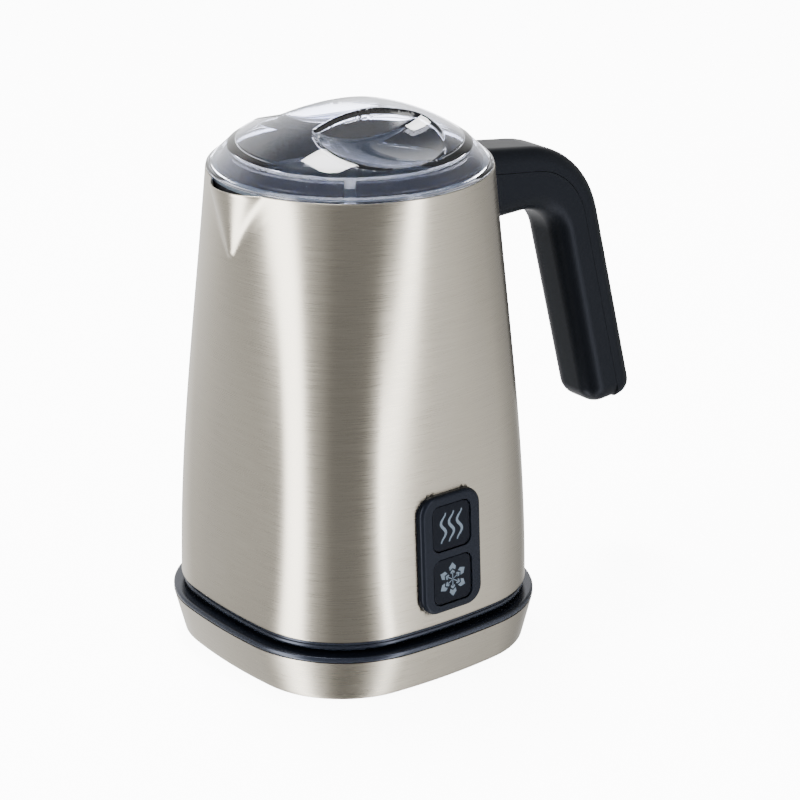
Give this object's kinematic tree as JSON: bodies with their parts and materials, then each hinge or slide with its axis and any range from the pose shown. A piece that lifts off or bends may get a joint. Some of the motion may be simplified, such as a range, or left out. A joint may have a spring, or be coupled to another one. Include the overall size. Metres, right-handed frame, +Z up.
{
  "type": "milk frother",
  "caption": "Cordless electric milk frother: a steel jug with a side handle, clear lid, push buttons and magnetic whisk, on a low square power base.",
  "frame": {"origin": "on the jug's vertical axis, at the level of the rubber foot ring's underside, which stands on the table", "axes": "+Z up along the jug's axis; +X towards the handle; -X towards the spout; -Y towards the control panel; +Y towards the cord's inlet"},
  "size_m": [0.1841, 0.119, 0.196],
  "materials": {
    "brushed_shell": "brushed across",
    "black_plastic": "fine satin",
    "inner_plastic": "as moulded",
    "bush_plastic": "as moulded",
    "whisk_plastic": "satin",
    "black_rubber": "matt",
    "clear_plastic": "polished clear",
    "coated_bowl": "non-stick coating",
    "plain_steel": "plain",
    "contact_brass": "plated",
    "heat_aluminium": "as rolled",
    "magnet": "plated",
    "board": "solder mask"
  },
  "bodies": {
    "base": {"foot_ring": "black_rubber", "base_pan": "inner_plastic", "base_band": "brushed_shell", "base_top": "black_plastic", "base_screws": "plain_steel", "coupler_post": "black_plastic", "live_contact": "contact_brass", "neutral_contact": "contact_brass", "earth_contact": "contact_brass", "cord_gland": "black_rubber", "cord_clamp": "inner_plastic", "clamp_screws": "plain_steel"},
    "socket": {"coupler_socket": "black_plastic", "socket_pin": "contact_brass", "socket_ring": "contact_brass", "socket_earth": "contact_brass"},
    "jug": {"outer_shell": "brushed_shell", "foot_trim": "black_plastic", "lower_cover": "inner_plastic", "cover_screws": "plain_steel", "inner_bowl": "coated_bowl", "bowl_collar": "inner_plastic", "spindle": "plain_steel", "heater_plate": "heat_aluminium", "heating_element": "plain_steel", "temperature_sensor": "plain_steel", "motor_bracket": "inner_plastic", "motor_can": "plain_steel", "motor_endplate": "inner_plastic", "motor_bushes": "contact_brass", "stator_magnets": "magnet", "control_board": "board", "heat_switch": "inner_plastic", "cold_switch": "inner_plastic", "panel_bezel": "black_plastic", "handle_inner": "black_plastic", "handle_cover": "black_plastic", "handle_bracket": "plain_steel", "handle_screws": "plain_steel"},
    "drive": {"motor_shaft": "plain_steel", "armature": "magnet", "magnet_carrier": "inner_plastic", "drive_magnets": "magnet"},
    "bush": {"whisk_bush": "bush_plastic"},
    "whisk": {"whisk_hub": "whisk_plastic", "whisk_coil": "plain_steel", "whisk_magnets": "magnet"},
    "lid": {"lid_cover": "clear_plastic", "lid_seal": "black_rubber"},
    "heat_button": {"heat_button": "black_plastic"},
    "cold_button": {"cold_button": "black_plastic"}
  },
  "joints": [
    {"name": "jug_lift", "type": "slide", "parent": "base", "child": "socket", "axis": [0, 0, 1], "range_m": [0, 0.25]},
    {"name": "jug_turn", "type": "hinge", "parent": "socket", "child": "jug", "pos_m": [0, 0, 0.03], "axis": [0, 0, 1], "continuous": true},
    {"name": "lid_lift", "type": "slide", "parent": "jug", "child": "lid", "axis": [0, 0, 1], "range_m": [0, 0.12]},
    {"name": "heat_button_press", "type": "slide", "parent": "jug", "child": "heat_button", "axis": [0, 0.9988, -0.049], "range_m": [0, 0.0008], "stiffness_N_per_m": 1500, "springref_m": -0.0004},
    {"name": "cold_button_press", "type": "slide", "parent": "jug", "child": "cold_button", "axis": [0, 0.9988, -0.049], "range_m": [0, 0.0008], "stiffness_N_per_m": 1500, "springref_m": -0.0004},
    {"name": "motor_spin", "type": "hinge", "parent": "jug", "child": "drive", "pos_m": [0, 0, 0.05], "axis": [0, 0, 1], "continuous": true},
    {"name": "whisk_lift", "type": "slide", "parent": "jug", "child": "bush", "axis": [0, 0, 1], "range_m": [0, 0.06]},
    {"name": "whisk_spin", "type": "hinge", "parent": "bush", "child": "whisk", "pos_m": [0, 0, 0.09], "axis": [0, 0, 1], "continuous": true}
  ],
  "couplings": [
    {"joint": "whisk_spin", "follows": "motor_spin", "ratio": 1}
  ]
}
